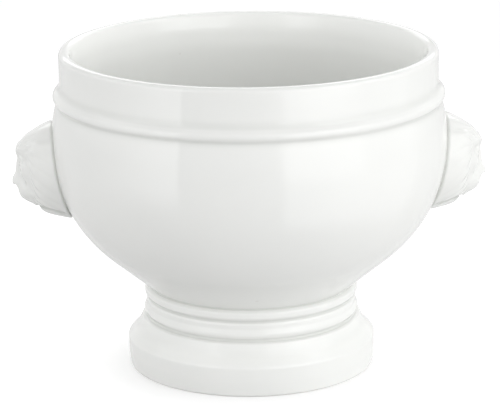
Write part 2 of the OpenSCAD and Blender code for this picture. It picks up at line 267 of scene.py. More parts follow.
def turn_section(name: str, section: np.ndarray, pool: np.ndarray, around: int) -> bpy.types.Object:
    """Turns a section about the axis: a point at distance r becomes a ring at its height.

    The ring's points are (r cos a, r sin a) for even steps of the angle a.

    Args:
        name: Name of the piece.
        section: Points of distance from the axis and height, whose two ends lie on the axis.
        pool: Glaze pool and its painted shade at each point.
        around: Points on each ring.

    Returns:
        The new object.
    """
    angle = np.arange(around) * 2.0 * math.pi / around
    inner = section[1:-1]
    rings = np.stack([inner[:, :1] * np.cos(angle), inner[:, :1] * np.sin(angle),
                      np.repeat(inner[:, 1:], around, axis=1)], axis=-1)
    poles = [np.array([0.0, 0.0, section[k, 1]]) for k in (0, -1)]
    return rings_to_mesh(name, rings, *poles, np.repeat(pool[1:-1, None], around, axis=1))


class NodeSketch:
    """Short calls for placing and joining the nodes of one tree."""

    def __init__(self, tree: bpy.types.NodeTree) -> None:
        """Starts from an empty tree."""
        self.tree = tree
        tree.nodes.clear()

    def node(self, kind: str, inputs: Optional[dict] = None, **settings: object) -> bpy.types.Node:
        """Places a node.

        Args:
            kind: Node type without its "ShaderNode" prefix, or the full type of a group's ends.
            inputs: Values of input sockets by name or number, or the output socket that feeds one.
            **settings: Values of the node's own settings.

        Returns:
            The node.
        """
        node = self.tree.nodes.new(kind if kind.startswith("NodeGroup") else "ShaderNode" + kind)
        for key, value in settings.items():
            setattr(node, key, value)
        for key, value in (inputs or {}).items():
            if isinstance(value, bpy.types.NodeSocket):
                self.tree.links.new(value, node.inputs[key])
            else:
                node.inputs[key].default_value = value
        return node

    def math(self, operation: str, *values: object) -> bpy.types.NodeSocket:
        """Places a Math node.

        Args:
            operation: Name of the operation.
            *values: Numbers or sockets for its inputs.

        Returns:
            Its output socket.
        """
        return self.node("Math", dict(enumerate(values)), operation=operation).outputs[0]

    def mix(self, share: object, first: object, second: object) -> bpy.types.NodeSocket:
        """Places a colour Mix node.

        Args:
            share: Number or socket, 0 for the first colour and 1 for the second.
            first: Colour or socket.
            second: Colour or socket.

        Returns:
            Its output socket.
        """
        node = self.node("Mix", data_type="RGBA")
        for slot, value in ((0, share), (6, first), (7, second)):
            if isinstance(value, bpy.types.NodeSocket):
                self.tree.links.new(value, node.inputs[slot])
            else:
                node.inputs[slot].default_value = value
        return node.outputs[2]


class GlazeGroup:
    """Shared shader group for the skin of the porcelain.

    It gives a colour that drifts between two whites, is tinted and darkened where glaze pools, which also
    paints shade into grooves, creases and the mouth, carries a few faint specks, a roughness that drifts with
    it, and a height for the slight ripple of a fired surface.
    """

    NAME = "porcelain_skin"
    INPUTS = (
        ("Place", "NodeSocketVector"),
        ("Pool", "NodeSocketFloat"),
        ("White", "NodeSocketColor"),
        ("Drift White", "NodeSocketColor"),
        ("Pool Tint", "NodeSocketColor"),
        ("Pool Share", "NodeSocketFloat"),
        ("Smoothest", "NodeSocketFloat"),
        ("Roughest", "NodeSocketFloat"),
        ("Grain Scale", "NodeSocketFloat"),
    )
    OUTPUTS = (("Color", "NodeSocketColor"), ("Roughness", "NodeSocketFloat"), ("Height", "NodeSocketFloat"))
    DRIFT_SCALE = 24.0
    DRIFT_DETAIL = 3.0
    DRIFT_RANGE = (0.36, 0.64)
    GRAIN_DETAIL = 2.0
    POOL_AND_SHADE_POWER = 1.5
    SPECK_SCALE = 150.0
    SPECK_SIZE = 0.1
    SPECK_RARITY = 0.975
    SPECK_SHARE = 0.12
    SPECK_COLOUR = (0.42, 0.38, 0.32, 1.0)

    @classmethod
    def get(cls) -> bpy.types.NodeTree:
        """Builds the group once.

        Returns:
            The group's tree.
        """
        if cls.NAME in bpy.data.node_groups:
            return bpy.data.node_groups[cls.NAME]
        tree = bpy.data.node_groups.new(cls.NAME, "ShaderNodeTree")
        for name, kind in cls.INPUTS:
            tree.interface.new_socket(name, in_out="INPUT", socket_type=kind)
        for name, kind in cls.OUTPUTS:
            tree.interface.new_socket(name, in_out="OUTPUT", socket_type=kind)
        sketch = NodeSketch(tree)
        given = sketch.node("NodeGroupInput").outputs
        noise = sketch.node("TexNoise", {"Vector": given["Place"], "Scale": cls.DRIFT_SCALE,
                                         "Detail": cls.DRIFT_DETAIL}).outputs["Fac"]
        drift = sketch.node("MapRange", {"Value": noise, "From Min": cls.DRIFT_RANGE[0],
                                         "From Max": cls.DRIFT_RANGE[1]}).outputs[0]
        grain = sketch.node("TexNoise", {"Vector": given["Place"], "Scale": given["Grain Scale"],
                                         "Detail": cls.GRAIN_DETAIL}).outputs["Fac"]
        cells = sketch.node("TexVoronoi", {"Vector": given["Place"], "Scale": cls.SPECK_SCALE})
        chance = sketch.node("SeparateColor", {0: cells.outputs["Color"]}).outputs[0]
        speck = sketch.math("MULTIPLY", sketch.math("LESS_THAN", cells.outputs["Distance"], cls.SPECK_SIZE),
                            sketch.math("GREATER_THAN", chance, cls.SPECK_RARITY))
        # Painted shade: where glaze pools, the colour is mixed towards the darker tint, which darkens grooves
        # and hollows.
        hollow = sketch.math("POWER", sketch.math("MAXIMUM", given["Pool"], 0.0), cls.POOL_AND_SHADE_POWER)
        colour = sketch.mix(drift, given["White"], given["Drift White"])
        colour = sketch.mix(sketch.math("MULTIPLY", hollow, given["Pool Share"]), colour, given["Pool Tint"])
        colour = sketch.mix(sketch.math("MULTIPLY", speck, cls.SPECK_SHARE), colour, cls.SPECK_COLOUR)
        rough = sketch.node("MapRange", {"Value": drift, "To Min": given["Smoothest"],
                                         "To Max": given["Roughest"]}).outputs[0]
        sketch.node("NodeGroupOutput", {"Color": colour, "Roughness": rough, "Height": grain})
        return tree


@dataclass(frozen=True)
class Porcelain:
    """A porcelain finish.

    Attributes:
        name: Name of the material.
        white: Colour where the skin is plain.
        drift_white: Colour that the skin drifts to.
        pool_and_shade_tint: Colour of thick glaze, darker than glaze alone, so that it also paints shade into
            hollows.
        pool_and_shade_share: How much of the tint a full pool shows, and so how much painted shade the
            hollows take.
        smoothest: Lowest roughness.
        roughest: Highest roughness.
        grain_scale: Scale of the ripple, per metre.
        ripple: Height of the ripple in metres.
        ior: Refractive index of the glaze.
    """

    name: str
    white: tuple[float, float, float] = (0.862, 0.868, 0.849)
    drift_white: tuple[float, float, float] = (0.843, 0.850, 0.832)
    # Tint of thick glaze, a little greenish and darker than glaze alone, so that it paints shade into grooves
    # and hollows.
    pool_and_shade_tint: tuple[float, float, float] = (0.56, 0.575, 0.545)
    pool_and_shade_share: float = 0.5
    smoothest: float = 0.05
    roughest: float = 0.08
    grain_scale: float = 170.0
    ripple: float = 0.00002
    ior: float = 1.5

    def material(self) -> bpy.types.Material:
        """Builds the material once: the shared skin group feeds one Principled shader.

        Returns:
            The material.
        """
        if self.name in bpy.data.materials:
            return bpy.data.materials[self.name]
        material = bpy.data.materials.new(self.name)
        material.use_nodes = True
        sketch = NodeSketch(material.node_tree)
        place = sketch.node("TexCoord").outputs["Object"]
        pool = sketch.node("Attribute", attribute_name=POOL_AND_SHADE).outputs["Fac"]
        values = {"Place": place, "Pool": pool, "White": (*self.white, 1.0),
                  "Drift White": (*self.drift_white, 1.0), "Pool Tint": (*self.pool_and_shade_tint, 1.0),
                  "Pool Share": self.pool_and_shade_share, "Smoothest": self.smoothest, "Roughest": self.roughest,
                  "Grain Scale": self.grain_scale}
        skin = sketch.node("Group", values, node_tree=GlazeGroup.get())
        bump = sketch.node("Bump", {"Height": skin.outputs["Height"], "Distance": self.ripple,
                                    "Strength": 1.0})
        shader = sketch.node("BsdfPrincipled", {"Base Color": skin.outputs["Color"],
                                                "Roughness": skin.outputs["Roughness"],
                                                "Normal": bump.outputs["Normal"], "IOR": self.ior})
        sketch.node("OutputMaterial", {"Surface": shader.outputs[0]})
        return material


GLAZE = Porcelain("white_glaze")
# The casting takes more of the tint, which paints shade into its carving, its mouth and the crease at the
# wall.
CAST_GLAZE = Porcelain("white_glaze_on_casting", pool_and_shade_share=0.8, grain_scale=240.0, ripple=0.00003)
BARE_CLAY = Porcelain("bare_foot_ring", white=(0.80, 0.775, 0.72), drift_white=(0.74, 0.71, 0.65),
                      pool_and_shade_share=0.0, smoothest=0.5, roughest=0.68, grain_scale=900.0, ripple=0.00006)


@dataclass(frozen=True)
class BellyCurve:
    """Outside of the belly: an arc over a straight cone that starts at the seam with the foot.

    The tangent t of half the arc's turn solves drop t + 2 cone_h t / (1 - t^2) = belly_r - neck_r, a cubic,
    so that arc and cone meet without a kink.

    Attributes:
        neck_r: Radius of the seam.
        foot_h: Height of the seam.
        cone_h: Height of the cone.
        belly_r: Largest radius of the belly.
        belly_z: Height of the largest radius.
    """

    neck_r: float = 32.1
    foot_h: float = 26.1
    cone_h: float = 11.3
    belly_r: float = 62.0
    belly_z: float = 72.2

    @property
    def drop(self) -> float:
        """Height of the arc."""
        return self.belly_z - self.foot_h - self.cone_h

    @property
    def turn(self) -> float:
        """Angle through which the arc turns.

        Returns:
            Angle in radians.
        """
        reach = self.belly_r - self.neck_r
        roots = np.roots([-self.drop, reach, self.drop + 2.0 * self.cone_h, -reach])
        roots = roots[np.abs(roots.imag) < TINY].real
        return 2.0 * math.atan(float(roots[(roots > 0.0) & (roots < 1.0)][0]))

    @property
    def radius(self) -> float:
        """Radius of the arc."""
        return self.drop / math.sin(self.turn)

    @property
    def middle(self) -> tuple[float, float]:
        """Distance from the axis and height of the arc's middle."""
        return self.belly_r - self.radius, self.belly_z

    def wall_r(self, z: np.ndarray) -> np.ndarray:
        """Radius of the wall at a height: on the arc above the cone's top, and on the cone below it.

        Args:
            z: Heights.

        Returns:
            Radii.
        """
        rise = z - self.belly_z
        on_arc = self.middle[0] + np.sqrt(np.maximum(self.radius ** 2 - rise ** 2, 0.0))
        on_cone = self.neck_r + (z - self.foot_h) * math.tan(self.turn)
        return np.where(rise > -self.drop, on_arc, on_cone)


@dataclass
class Bowl:
    """The thrown bowl: lip, straight collar, bead, belly and inside.

    Attributes:
        belly: Outside of the belly.
        rim_r: Outside radius of the collar.
        rim_h: Height of the lip's crest.
        lip_t: Thickness of the collar.
        flare: How far the inside leans out towards the lip.
        flare_h: Height over which it does.
        flare_r: Radius that eases the lean in.
        bead_z: Height of the bead's middle.
        bead_h: Height of the bead.
        bead_out: How far the bead stands out from the collar.
        groove_depth: Depth of the groove under the bead.
        groove_h: Height of the groove's lower slope.
        groove_round: Rounding of the groove.
        bead_round: Rounding of the bead.
        bead_top_round: Rounding between the bead and the collar.
        belly_t: Thickness of the belly wall.
        floor_t: Thickness of the floor over the foot.
        floor_round_r: Radius between the inside wall and the floor.
        inside_ease_r: Radius that eases the collar's inside into the belly.
        pass_h: Half of the height over which it does.
        eased: Points of the inside arc that this easing takes up.
        around: Points on each ring.
        rows: Points along the section.
    """

    belly: BellyCurve
    rim_r: float = 59.0
    rim_h: float = 101.5
    lip_t: float = 4.4
    flare: float = 1.2
    flare_h: float = 5.0
    flare_r: float = 19.0
    bead_z: float = 87.9
    bead_h: float = 4.4
    bead_out: float = 2.1
    groove_depth: float = 1.0
    groove_h: float = 2.0
    groove_round: float = 1.2
    bead_round: float = 2.0
    bead_top_round: float = 3.0
    belly_t: float = 4.6
    floor_t: float = 6.4
    floor_round_r: float = 18.0
    inside_ease_r: float = 20.0
    pass_h: float = 5.0
    eased: int = 8
    around: int = 176
    rows: int = 500

    def outside(self) -> np.ndarray:
        """Outside line from the seam up the belly and over the bead to the lip's crest.

        Returns:
            Points of distance from the axis and height.
        """
        groove_z = self.bead_z - 0.5 * self.bead_h
        belly_top = groove_z - self.groove_h
        bead_top, bead_r = self.bead_z + 0.5 * self.bead_h, self.rim_r + self.bead_out
        lip_r = 0.5 * (self.lip_t - self.flare)
        top_angle = math.asin((belly_top - self.belly.belly_z) / self.belly.radius)
        curve = arc(self.belly.middle, self.belly.radius, -self.belly.turn, top_angle)
        corners = np.array([
            [*curve[-1], 0.0],
            [bead_r - self.groove_depth, groove_z, self.groove_round],
            [bead_r, groove_z + self.groove_depth, self.bead_round],
            [bead_r, bead_top - self.bead_out, self.bead_round],
            [self.rim_r, bead_top, self.bead_top_round],
            [self.rim_r, self.rim_h, lip_r],
            [self.rim_r - 2.0 * lip_r, self.rim_h, 0.0],
        ])
        seam = np.array([[self.belly.neck_r, self.belly.foot_h]])
        crest = np.array([[self.rim_r - lip_r, self.rim_h]])
        return np.concatenate([seam, curve, round_corners(corners), crest])

    def inside(self) -> np.ndarray:
        """Inside line from the lip's crest down to the middle of the floor.

        Returns:
            Points of distance from the axis and height.
        """
        middle_z = self.belly.belly_z
        radius = self.belly.radius - self.belly_t
        inside_r, floor_z = self.rim_r - self.lip_t, self.belly.foot_h + self.floor_t
        groove_z = self.bead_z - 0.5 * self.bead_h
        wall_r = float(self.belly.wall_r(np.array(groove_z - self.groove_h)))
        step_out = 0.5 * (wall_r - self.rim_r - self.bead_out + self.groove_depth)
        pass_z = groove_z - step_out
        top_angle = math.asin((pass_z - self.pass_h - middle_z) / radius)
        curve = arc(self.belly.middle, radius, top_angle, -self.belly.turn)
        foot_r = curve[-1, 0] - (curve[-1, 1] - floor_z) * math.tan(self.belly.turn)
        upper = np.array([
            [self.rim_r, self.rim_h, 0.0],
            [inside_r + self.flare, self.rim_h, 0.5 * (self.lip_t - self.flare)],
            [inside_r, self.rim_h - self.flare_h, self.flare_r],
            [inside_r, pass_z + self.pass_h, self.inside_ease_r],
            [*curve[0], self.inside_ease_r],
            [*curve[self.eased], 0.0],
        ])
        lower = np.array([[*curve[-1], 0.0], [foot_r, floor_z, self.floor_round_r], [0.0, floor_z, 0.0]])
        floor = [round_corners(lower), lower[-1:, :2]]
        return np.concatenate([round_corners(upper), curve[self.eased:], *floor])

    def build(self, line: "SoftLine") -> bpy.types.Object:
        """Turns the bowl's section about the axis.

        Args:
            line: Softened outside line of the whole crock.

        Returns:
            The bowl.
        """
        outer, outer_pool_and_shade = line.above_seam()
        inner = even_steps(np.concatenate([outer[-1:], self.inside()]), line.step)
        inner = blur(inner, line.softness, line.step)
        inner[-1, 0] = 0.0
        section = np.concatenate([outer, inner[1:]])
        pool = np.concatenate([outer_pool_and_shade, glaze_pool_and_shade(inner, line.step)[1:]])
        section, pool = thin_out(section, pool, self.rows)
        seat = np.array([[0.0, self.belly.foot_h], [0.5 * self.belly.neck_r, self.belly.foot_h]])
        section, pool = np.concatenate([seat, section]), np.concatenate([[0.0, 0.0], pool])
        return turn_section("glazed_bowl", section, pool, self.around)

    def dress(self, piece: bpy.types.Object) -> None:
        """Glazes the bowl and puts it in the place of its casting."""
        piece.data.materials.append(GLAZE.material())
        settle(piece, "bowl")


@dataclass
class PedestalFoot:
    """The turned foot: two neck rolls, a hollow slope, a plinth wall and a hollow underside.

    Attributes:
        belly: Outside of the belly, which gives the seam.
        upper_roll_h: Height of the narrow roll.
        upper_roll_out: How far it stands out from the seam.
        upper_roll_at: Shares of its height at which its flat front starts and ends.
        upper_roll_round: Roundings there.
        neck_groove_out: How far the groove under it stands out.
        neck_groove_round: Rounding of that groove.
        neck_edge_out: How far the edge under the groove stands out from the waist.
        neck_edge_drop: How far it lies below the groove.
        neck_edge_round: Rounding of that edge.
        lower_roll_h: Height of the broad roll.
        lower_roll_out: How far its crest stands out.
        crest_at: Share of its height at which the crest lies.
        crest_round: Rounding of the crest.
        waist_out: How far its waist stands out.
        waist_at: Share of its height at which the waist lies.
        waist_round: Rounding of the waist.
        plinth_groove_out: How far the groove over the plinth stands out.
        plinth_groove_round: Rounding of that groove and of the slope's top.
        slope_out: How far the slope's top stands out from the crest.
        slope_drop: How far it lies below the groove.
        hollow_at: Share of the slope's width at which its hollow lies.
        hollow_round: Rounding of the hollow.
        plinth_r: Radius of the plinth's shoulder.
        shoulder_h: Height of the shoulder.
        shoulder_r: Rounding of the shoulder.
        lean_h: Height at which the plinth's wall starts to lean in.
        lean_round: Rounding there.
        base_r: Radius on the table.
        ring_w: Width of the foot ring.
        foot_t: Thickness of the wall at the seam.
        roof_round: Rounding of the roof of the hollow underside.
        edge_r: Rounding of the ring's edges.
        bare_share: Share of that rounding up to which the ring is bare.
        skin: Thickness of glaze over the bowl's underside.
        cap_gap: Gap between the foot's top and the bowl's seat, out of sight.
        around: Points on each ring.
        rows: Points along the section.
    """

    belly: BellyCurve
    upper_roll_h: float = 3.85
    upper_roll_out: float = 1.55
    upper_roll_at: tuple[float, float] = (0.32, 0.78)
    upper_roll_round: tuple[float, float] = (0.7, 0.8)
    neck_groove_out: float = 0.3
    neck_groove_round: float = 0.8
    neck_edge_out: float = 0.1
    neck_edge_drop: float = 1.0
    neck_edge_round: float = 0.6
    lower_roll_h: float = 6.05
    lower_roll_out: float = 2.0
    crest_at: float = 0.31
    crest_round: float = 1.4
    waist_out: float = 1.0
    waist_at: float = 0.68
    waist_round: float = 5.0
    plinth_groove_out: float = 0.4
    plinth_groove_round: float = 0.6
    slope_out: float = 0.35
    slope_drop: float = 0.45
    hollow_at: float = 0.3
    hollow_round: float = 9.0
    plinth_r: float = 39.1
    shoulder_h: float = 9.3
    shoulder_r: float = 1.1
    lean_h: float = 5.0
    lean_round: float = 12.0
    base_r: float = 38.5
    ring_w: float = 5.0
    foot_t: float = 5.0
    roof_round: float = 4.0
    edge_r: float = 0.8
    bare_share: float = 0.25
    skin: float = 0.3
    cap_gap: float = 0.03
    around: int = 160
    rows: int = 330

    def outside(self) -> np.ndarray:
        """Outside line from the foot ring's edge up to the seam.

        Returns:
            Points of distance from the axis and height.
        """
        neck_r, foot_h = self.belly.neck_r, self.belly.foot_h
        groove_z = foot_h - self.upper_roll_h
        plinth_h = groove_z - self.lower_roll_h
        roll_r, crest_r = neck_r + self.upper_roll_out, neck_r + self.lower_roll_out
        slope_r, waist_r = crest_r + self.slope_out, neck_r + self.waist_out
        hollow_r = slope_r + self.hollow_at * (self.plinth_r - slope_r)
        corners = np.array([
            [self.base_r - self.ring_w, 0.0, 0.0],
            [self.base_r, 0.0, self.edge_r],
            [self.plinth_r, self.lean_h, self.lean_round],
            [self.plinth_r, self.shoulder_h, self.shoulder_r],
            [hollow_r, 0.5 * (plinth_h + self.shoulder_h), self.hollow_round],
            [slope_r, plinth_h - self.slope_drop, self.plinth_groove_round],
            [neck_r + self.plinth_groove_out, plinth_h, self.plinth_groove_round],
            [crest_r, plinth_h + self.crest_at * self.lower_roll_h, self.crest_round],
            [waist_r, plinth_h + self.waist_at * self.lower_roll_h, self.waist_round],
            [waist_r + self.neck_edge_out, groove_z - self.neck_edge_drop, self.neck_edge_round],
            [neck_r + self.neck_groove_out, groove_z, self.neck_groove_round],
            [roll_r, groove_z + self.upper_roll_at[0] * self.upper_roll_h, self.upper_roll_round[0]],
            [roll_r, groove_z + self.upper_roll_at[1] * self.upper_roll_h, self.upper_roll_round[1]],
            [neck_r, foot_h, 0.0],
        ])
        start = np.array([[self.base_r - 0.5 * self.ring_w, 0.0]])
        return np.concatenate([start, round_corners(corners), corners[-1:, :2]])

    def hollow(self) -> np.ndarray:
        """Inside line from the middle of the hollow's roof down to the foot ring.

        Returns:
            Points of distance from the axis and height.
        """
        roof = self.belly.foot_h - self.skin
        inner_r = self.base_r - self.ring_w
        corners = np.array([
            [0.0, roof, 0.0],
            [self.belly.neck_r - self.foot_t, roof, self.roof_round],
            [inner_r, 0.0, self.edge_r],
            [self.base_r, 0.0, 0.0],
        ])
        end = np.array([[inner_r + 0.5 * self.ring_w, 0.0]])
        return np.concatenate([corners[:1, :2], round_corners(corners), end])

    def build(self, line: "SoftLine") -> bpy.types.Object:
        """Turns the foot's section about the axis.

        Args:
            line: Softened outside line of the whole crock.

        Returns:
            The foot.
        """
        outer, outer_pool_and_shade = line.below_seam()
        inner = even_steps(self.hollow(), line.step)
        inner_pool_and_shade = glaze_pool_and_shade(inner, line.step)
        section = np.concatenate([inner[:-1], outer])
        pool = np.concatenate([inner_pool_and_shade[:-1], outer_pool_and_shade])
        section, pool = thin_out(section, pool, self.rows)
        top = self.belly.foot_h - self.cap_gap
        cap = np.array([[0.5 * self.belly.neck_r, top], [0.0, top]])
        section, pool = np.concatenate([section, cap]), np.concatenate([pool, [0.0, 0.0]])
        return turn_section("glazed_foot", section, pool, self.around)

    def dress(self, piece: bpy.types.Object) -> None:
        """Glazes the foot, leaves the ring that stood in the kiln bare, and puts it in place.

        Args:
            piece: The foot.
        """
        mesh = piece.data
        mesh.materials.append(GLAZE.material())
        mesh.materials.append(BARE_CLAY.material())
        middles = np.empty(3 * len(mesh.polygons))
        mesh.polygons.foreach_get("center", middles)
        bare = middles[2::3] < self.bare_share * self.edge_r * MM
        mesh.polygons.foreach_set("material_index", bare.astype(np.int32))
        settle(piece, "pedestal_foot")


@dataclass
class SoftLine:
    """Outside line of bowl and foot together, softened as glaze softens thrown clay.

    Attributes:
        bowl: The bowl.
        foot: The foot.
        step: Length of one step along the line.
        softness: Spread of the softening.
    """

    bowl: Bowl
    foot: PedestalFoot
    step: float = 0.05
    softness: float = 0.18

    def __post_init__(self) -> None:
        """Joins the two lines at the seam, blurs the whole and notes where the seam lies."""
        whole = even_steps(np.concatenate([self.foot.outside(), self.bowl.outside()]), self.step)
        self.points = blur(whole, self.softness, self.step)
        self.pool = glaze_pool_and_shade(self.points, self.step)
        near_seam = np.abs(self.points[:, 1] - self.bowl.belly.foot_h)
        self.seam = int(np.argmin(near_seam))

    def above_seam(self) -> tuple[np.ndarray, np.ndarray]:
        """Line and pool, which also paints shade, from the seam to the lip's crest."""
        return self.points[self.seam:], self.pool[self.seam:]

    def below_seam(self) -> tuple[np.ndarray, np.ndarray]:
        """Line and pool, which also paints shade, from the foot ring to the seam."""
        return self.points[:self.seam + 1], self.pool[:self.seam + 1]


@dataclass(frozen=True)
class Mound:
    """One hill or hollow of the carving, mirrored on both halves of the face.

    Its height is relief times exp(-(|x| / half_w)^squareness - (|y| / half_h)^squareness), where x and y are
    the distances from its middle, turned by the tilt.

    Attributes:
        side: Distance of its middle from the face's middle line.
        height: Height of its middle above the head's middle.
        half_w: Half of its width.
        half_h: Half of its height.
        relief: Height of the hill, negative for a hollow.
        tilt: Turn in degrees.
        squareness: 2 for a round hill, more for a flat-topped one.
    """

    side: float
    height: float
    half_w: float
    half_h: float
    relief: float
    tilt: float = 0.0
    squareness: float = 2.0

    def at(self, a: np.ndarray, t: np.ndarray) -> np.ndarray:
        """Relief of the mound.

        Args:
            a: Distances from the face's middle line.
            t: Heights above the head's middle.

        Returns:
            Relief at each place.
        """
        c, s = math.cos(math.radians(self.tilt)), math.sin(math.radians(self.tilt))
        x = (a - self.side) * c + (t - self.height) * s
        y = (t - self.height) * c - (a - self.side) * s
        fall = np.abs(x / self.half_w) ** self.squareness + np.abs(y / self.half_h) ** self.squareness
        return self.relief * np.exp(-fall)


FACE = (
    Mound(0.0, 8.6, 5.0, 3.2, 1.1),                        # forehead
    Mound(0.0, 8.4, 0.8, 2.2, -0.3),                       # frown
    Mound(3.9, 7.2, 2.9, 1.3, 1.0, 13.0),                  # brow
    Mound(1.0, 6.0, 1.4, 1.2, 0.4),                        # knot of the brows
    Mound(4.1, 4.5, 2.5, 1.6, -1.1, 8.0),                  # eye socket
    Mound(4.0, 4.35, 1.6, 1.05, 1.2, 8.0, 2.6),            # eye
    Mound(3.85, 4.3, 0.5, 0.5, -0.25, 0.0, 3.0),           # pupil
    Mound(4.2, 2.75, 1.8, 0.5, 0.3, 4.0),                  # lower lid
    Mound(0.0, -2.4, 2.7, 1.6, 1.0, 0.0, 2.4),             # nose
    Mound(2.1, -3.0, 1.0, 1.0, 0.4),                       # wing of the nose
    Mound(1.5, -3.75, 0.75, 0.55, -0.8, 28.0),             # nostril
    Mound(2.8, -6.0, 2.9, 3.0, 2.3, -8.0, 2.4),            # whisker pad
    Mound(2.6, -6.0, 0.35, 0.35, -0.16),                   # whisker pits
    Mound(3.9, -6.3, 0.35, 0.35, -0.16),
    Mound(2.3, -7.5, 0.35, 0.35, -0.16),
    Mound(3.6, -7.9, 0.35, 0.35, -0.16),
    Mound(4.7, -7.3, 0.35, 0.35, -0.16),
    Mound(0.0, -13.0, 3.4, 1.3, 0.6, 0.0, 2.6),            # chin
    Mound(6.2, -11.6, 1.8, 1.4, -0.5),                     # corner of the mouth
    Mound(6.4, 0.6, 1.8, 2.8, 0.8, -14.0),                 # cheek
    Mound(4.9, -2.4, 0.9, 2.0, -0.6, 26.0),                # crease beside the nose
    Mound(7.2, -6.2, 1.8, 2.2, 0.5, 10.0),                 # jowl
    Mound(8.3, 9.0, 2.0, 2.1, 0.9, -30.0, 2.4),            # ear
    Mound(8.0, 8.6, 1.0, 1.2, -0.8, -30.0, 2.2),           # hollow of the ear
)


@dataclass(frozen=True)
class FaceLines:
    """Long forms of the face.

    The planes of the face fall back from the nose. The bridge is a ridge that broadens and rises towards the
    nose. A furrow parts the whisker pads. Heights are measured from the head's middle.

    Attributes:
        fall: How far the planes fall back.
        fall_span: Distances from the middle line between which they do.
        fall_z: Height of the middle of the planes.
        fall_half_h: Half of their height.
        fall_depth: Shares of the block's depth between which they fade in.
        bridge_z: Height below which the bridge grows.
        bridge_reach: Height over which it does.
        bridge_h: Height of its ridge, and how much it rises.
        bridge_half_w: Half of its width, and how much it broadens.
        bridge_foot: Heights between which it fades in over the nose.
        bridge_head: Heights between which it fades out under the brow.
        furrow: Depth of the furrow.
        furrow_half_w: Half of its width.
        furrow_foot: Heights between which it fades in over the mouth.
        furrow_head: Heights between which it fades out under the nose.
    """

    fall: float = 1.3
    fall_span: tuple[float, float] = (2.2, 8.0)
    fall_z: float = -0.5
    fall_half_h: float = 9.5
    fall_depth: tuple[float, float] = (0.55, 0.9)
    bridge_z: float = 4.0
    bridge_reach: float = 6.0
    bridge_h: tuple[float, float] = (0.45, 1.5)
    bridge_half_w: tuple[float, float] = (1.5, 0.9)
    bridge_foot: tuple[float, float] = (-5.0, -3.0)
    bridge_head: tuple[float, float] = (4.5, 8.0)
    furrow: float = 1.1
    furrow_half_w: float = 0.45
    furrow_foot: tuple[float, float] = (-11.0, -10.0)
    furrow_head: tuple[float, float] = (-5.4, -4.6)

    def relief(self, a: np.ndarray, t: np.ndarray, depth: np.ndarray) -> np.ndarray:
        """Relief of the long forms.

        Args:
            a: Distances from the face's middle line.
            t: Heights above the head's middle.
            depth: Shares of the block's depth.

        Returns:
            Relief at each place.
        """
        planes = ease(a, *self.fall_span) * np.exp(-((t - self.fall_z) / self.fall_half_h) ** 4)
        grow = np.clip((self.bridge_z - t) / self.bridge_reach, 0.0, 1.0)
        half_w = self.bridge_half_w[0] + self.bridge_half_w[1] * grow
        bridge = (self.bridge_h[0] + self.bridge_h[1] * grow) * np.exp(-(a / half_w) ** 3)
        bridge = bridge * ease(t, *self.bridge_foot) * (1.0 - ease(t, *self.bridge_head))
        furrow = np.exp(-(a / self.furrow_half_w) ** 2)
        furrow = furrow * ease(t, *self.furrow_foot) * (1.0 - ease(t, *self.furrow_head))
        return bridge - self.fall * planes * ease(depth, *self.fall_depth) - self.furrow * furrow


@dataclass(frozen=True)
class Mouth:
    """Groove of the mouth, whose line dips under the whisker pads and runs back along the sides over the jaw.

    Heights are measured from the head's middle.

    Attributes:
        lip_z: Height of the line under the nose.
        dip: How far it dips under the pads.
        dip_span: Distances from the face's middle line between which it does.
        rise: How far it rises again towards the corners.
        rise_span: Distances between which it does.
        jaw_z: Height of the line where it turns on to the side.
        jaw_fall: How far it falls from there to the wall.
        turn_depth: Share of the block's depth at which it turns on to the side.
        half_w: Half of the groove's width.
        fade: Shares of the depth between which the groove fades in from the wall.
        cut: Depth of the groove under the pads.
        jaw_cut: How much deeper it is along the jaw.
        jaw_cut_depth: Shares of the depth between which it is fully so and not at all.
    """

    lip_z: float = -10.6
    dip: float = 0.7
    dip_span: tuple[float, float] = (0.6, 3.2)
    rise: float = 0.4
    rise_span: tuple[float, float] = (4.5, 7.0)
    jaw_z: float = -10.9
    jaw_fall: float = 2.0
    turn_depth: float = 0.86
    half_w: float = 0.65
    fade: tuple[float, float] = (0.05, 0.5)
    cut: float = 0.35
    jaw_cut: float = 0.8
    jaw_cut_depth: tuple[float, float] = (0.7, 0.95)

    def share(self, a: np.ndarray, t: np.ndarray, depth: np.ndarray) -> np.ndarray:
        """Share of the groove: a bell curve about its line, which fades out at the wall.

        Args:
            a: Distances from the face's middle line.
            t: Heights above the head's middle.
            depth: Shares of the block's depth.

        Returns:
            Share at each place, 1 in the middle of the groove.
        """
        lips = self.lip_z - self.dip * ease(a, *self.dip_span) + self.rise * ease(a, *self.rise_span)
        jaw = self.jaw_z - self.jaw_fall * np.clip((self.turn_depth - depth) / self.turn_depth, 0.0, 1.0)
        line = np.where(depth > self.turn_depth, lips, jaw)
        return np.exp(-((t - line) / self.half_w) ** 2) * ease(depth, *self.fade)

    def relief(self, a: np.ndarray, t: np.ndarray, depth: np.ndarray) -> np.ndarray:
        """Relief of the groove: its share times its depth, which grows along the jaw.

        Args:
            a: Distances from the face's middle line.
            t: Heights above the head's middle.
            depth: Shares of the block's depth.

        Returns:
            Relief at each place.
        """
        cut = self.cut + self.jaw_cut * (1.0 - ease(depth, *self.jaw_cut_depth))
        return -cut * self.share(a, t, depth)


